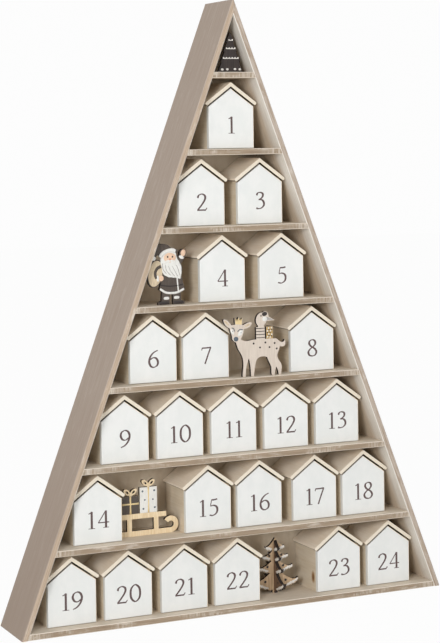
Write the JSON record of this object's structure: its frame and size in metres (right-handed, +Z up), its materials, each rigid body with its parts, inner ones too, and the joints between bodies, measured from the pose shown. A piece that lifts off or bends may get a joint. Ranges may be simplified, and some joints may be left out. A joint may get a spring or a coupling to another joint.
{
  "type": "advent calendar",
  "caption": "Tree-shaped wooden case of shelves holding small numbered house drawers that slide out, with cut-out winter figures between them.",
  "frame": {"origin": "on the floor, below the middle of the case", "axes": "+X to the right seen from the front, +Y from the front to the back, +Z up"},
  "size_m": [0.4742, 0.0676, 0.6283],
  "materials": {
    "taupe_limed_case": "taupe stain outside, limed white inside, matt",
    "cream_limed_house": "cream limewash",
    "white_painted_drawer": "matt white paint",
    "dark_stained_ply": "dark stain",
    "painted_ply": "matt paint on ply",
    "natural_ply": "bare ply, laser-cut edges",
    "gold_painted_ply": "matt gold paint"
  },
  "bodies": {
    "case": {"left_side_board": "taupe_limed_case", "right_side_board": "taupe_limed_case", "base_board": "taupe_limed_case", "back_panel": "taupe_limed_case", "shelf_1": "taupe_limed_case", "shelf_2": "taupe_limed_case", "shelf_3": "taupe_limed_case", "shelf_4": "taupe_limed_case", "shelf_5": "taupe_limed_case", "shelf_6": "taupe_limed_case", "shelf_7": "taupe_limed_case", "house_shells_row_1": "cream_limed_house", "house_shells_row_2": "cream_limed_house", "house_shells_row_3": "cream_limed_house", "house_shells_row_4": "cream_limed_house", "house_shells_row_5": "cream_limed_house", "house_shells_row_6": "cream_limed_house", "house_shells_row_7": "cream_limed_house", "house_roofs_row_1": "cream_limed_house", "house_roofs_row_2": "cream_limed_house", "house_roofs_row_3": "cream_limed_house", "house_roofs_row_4": "cream_limed_house", "house_roofs_row_5": "cream_limed_house", "house_roofs_row_6": "cream_limed_house", "house_roofs_row_7": "cream_limed_house", "top_tree": "dark_stained_ply", "santa_figure": "painted_ply", "reindeer": "natural_ply", "reindeer_parcels": "natural_ply", "sledge": "gold_painted_ply", "sledge_gifts": "painted_ply", "fir_panel_wide": "natural_ply", "fir_panel_cross": "natural_ply"},
    "drawer_01": {"drawer_01": "white_painted_drawer"},
    "drawer_02": {"drawer_02": "white_painted_drawer"},
    "drawer_03": {"drawer_03": "white_painted_drawer"},
    "drawer_04": {"drawer_04": "white_painted_drawer"},
    "drawer_05": {"drawer_05": "white_painted_drawer"},
    "drawer_06": {"drawer_06": "white_painted_drawer"},
    "drawer_07": {"drawer_07": "white_painted_drawer"},
    "drawer_08": {"drawer_08": "white_painted_drawer"},
    "drawer_09": {"drawer_09": "white_painted_drawer"},
    "drawer_10": {"drawer_10": "white_painted_drawer"},
    "drawer_11": {"drawer_11": "white_painted_drawer"},
    "drawer_12": {"drawer_12": "white_painted_drawer"},
    "drawer_13": {"drawer_13": "white_painted_drawer"},
    "drawer_14": {"drawer_14": "white_painted_drawer"},
    "drawer_15": {"drawer_15": "white_painted_drawer"},
    "drawer_16": {"drawer_16": "white_painted_drawer"},
    "drawer_17": {"drawer_17": "white_painted_drawer"},
    "drawer_18": {"drawer_18": "white_painted_drawer"},
    "drawer_19": {"drawer_19": "white_painted_drawer"},
    "drawer_20": {"drawer_20": "white_painted_drawer"},
    "drawer_21": {"drawer_21": "white_painted_drawer"},
    "drawer_22": {"drawer_22": "white_painted_drawer"},
    "drawer_23": {"drawer_23": "white_painted_drawer"},
    "drawer_24": {"drawer_24": "white_painted_drawer"}
  },
  "joints": [
    {"name": "drawer_01_slide", "type": "slide", "parent": "case", "child": "drawer_01", "axis": [0, -1, 0], "range_m": [0, 0.034]},
    {"name": "drawer_02_slide", "type": "slide", "parent": "case", "child": "drawer_02", "axis": [0, -1, 0], "range_m": [0, 0.034]},
    {"name": "drawer_03_slide", "type": "slide", "parent": "case", "child": "drawer_03", "axis": [0, -1, 0], "range_m": [0, 0.034]},
    {"name": "drawer_04_slide", "type": "slide", "parent": "case", "child": "drawer_04", "axis": [0, -1, 0], "range_m": [0, 0.034]},
    {"name": "drawer_05_slide", "type": "slide", "parent": "case", "child": "drawer_05", "axis": [0, -1, 0], "range_m": [0, 0.034]},
    {"name": "drawer_06_slide", "type": "slide", "parent": "case", "child": "drawer_06", "axis": [0, -1, 0], "range_m": [0, 0.034]},
    {"name": "drawer_07_slide", "type": "slide", "parent": "case", "child": "drawer_07", "axis": [0, -1, 0], "range_m": [0, 0.034]},
    {"name": "drawer_08_slide", "type": "slide", "parent": "case", "child": "drawer_08", "axis": [0, -1, 0], "range_m": [0, 0.034]},
    {"name": "drawer_09_slide", "type": "slide", "parent": "case", "child": "drawer_09", "axis": [0, -1, 0], "range_m": [0, 0.034]},
    {"name": "drawer_10_slide", "type": "slide", "parent": "case", "child": "drawer_10", "axis": [0, -1, 0], "range_m": [0, 0.034]},
    {"name": "drawer_11_slide", "type": "slide", "parent": "case", "child": "drawer_11", "axis": [0, -1, 0], "range_m": [0, 0.034]},
    {"name": "drawer_12_slide", "type": "slide", "parent": "case", "child": "drawer_12", "axis": [0, -1, 0], "range_m": [0, 0.034]},
    {"name": "drawer_13_slide", "type": "slide", "parent": "case", "child": "drawer_13", "axis": [0, -1, 0], "range_m": [0, 0.034]},
    {"name": "drawer_14_slide", "type": "slide", "parent": "case", "child": "drawer_14", "axis": [0, -1, 0], "range_m": [0, 0.034]},
    {"name": "drawer_15_slide", "type": "slide", "parent": "case", "child": "drawer_15", "axis": [0, -1, 0], "range_m": [0, 0.034]},
    {"name": "drawer_16_slide", "type": "slide", "parent": "case", "child": "drawer_16", "axis": [0, -1, 0], "range_m": [0, 0.034]},
    {"name": "drawer_17_slide", "type": "slide", "parent": "case", "child": "drawer_17", "axis": [0, -1, 0], "range_m": [0, 0.034]},
    {"name": "drawer_18_slide", "type": "slide", "parent": "case", "child": "drawer_18", "axis": [0, -1, 0], "range_m": [0, 0.034]},
    {"name": "drawer_19_slide", "type": "slide", "parent": "case", "child": "drawer_19", "axis": [0, -1, 0], "range_m": [0, 0.034]},
    {"name": "drawer_20_slide", "type": "slide", "parent": "case", "child": "drawer_20", "axis": [0, -1, 0], "range_m": [0, 0.034]},
    {"name": "drawer_21_slide", "type": "slide", "parent": "case", "child": "drawer_21", "axis": [0, -1, 0], "range_m": [0, 0.034]},
    {"name": "drawer_22_slide", "type": "slide", "parent": "case", "child": "drawer_22", "axis": [0, -1, 0], "range_m": [0, 0.034]},
    {"name": "drawer_23_slide", "type": "slide", "parent": "case", "child": "drawer_23", "axis": [0, -1, 0], "range_m": [0, 0.034]},
    {"name": "drawer_24_slide", "type": "slide", "parent": "case", "child": "drawer_24", "axis": [0, -1, 0], "range_m": [0, 0.034]}
  ]
}
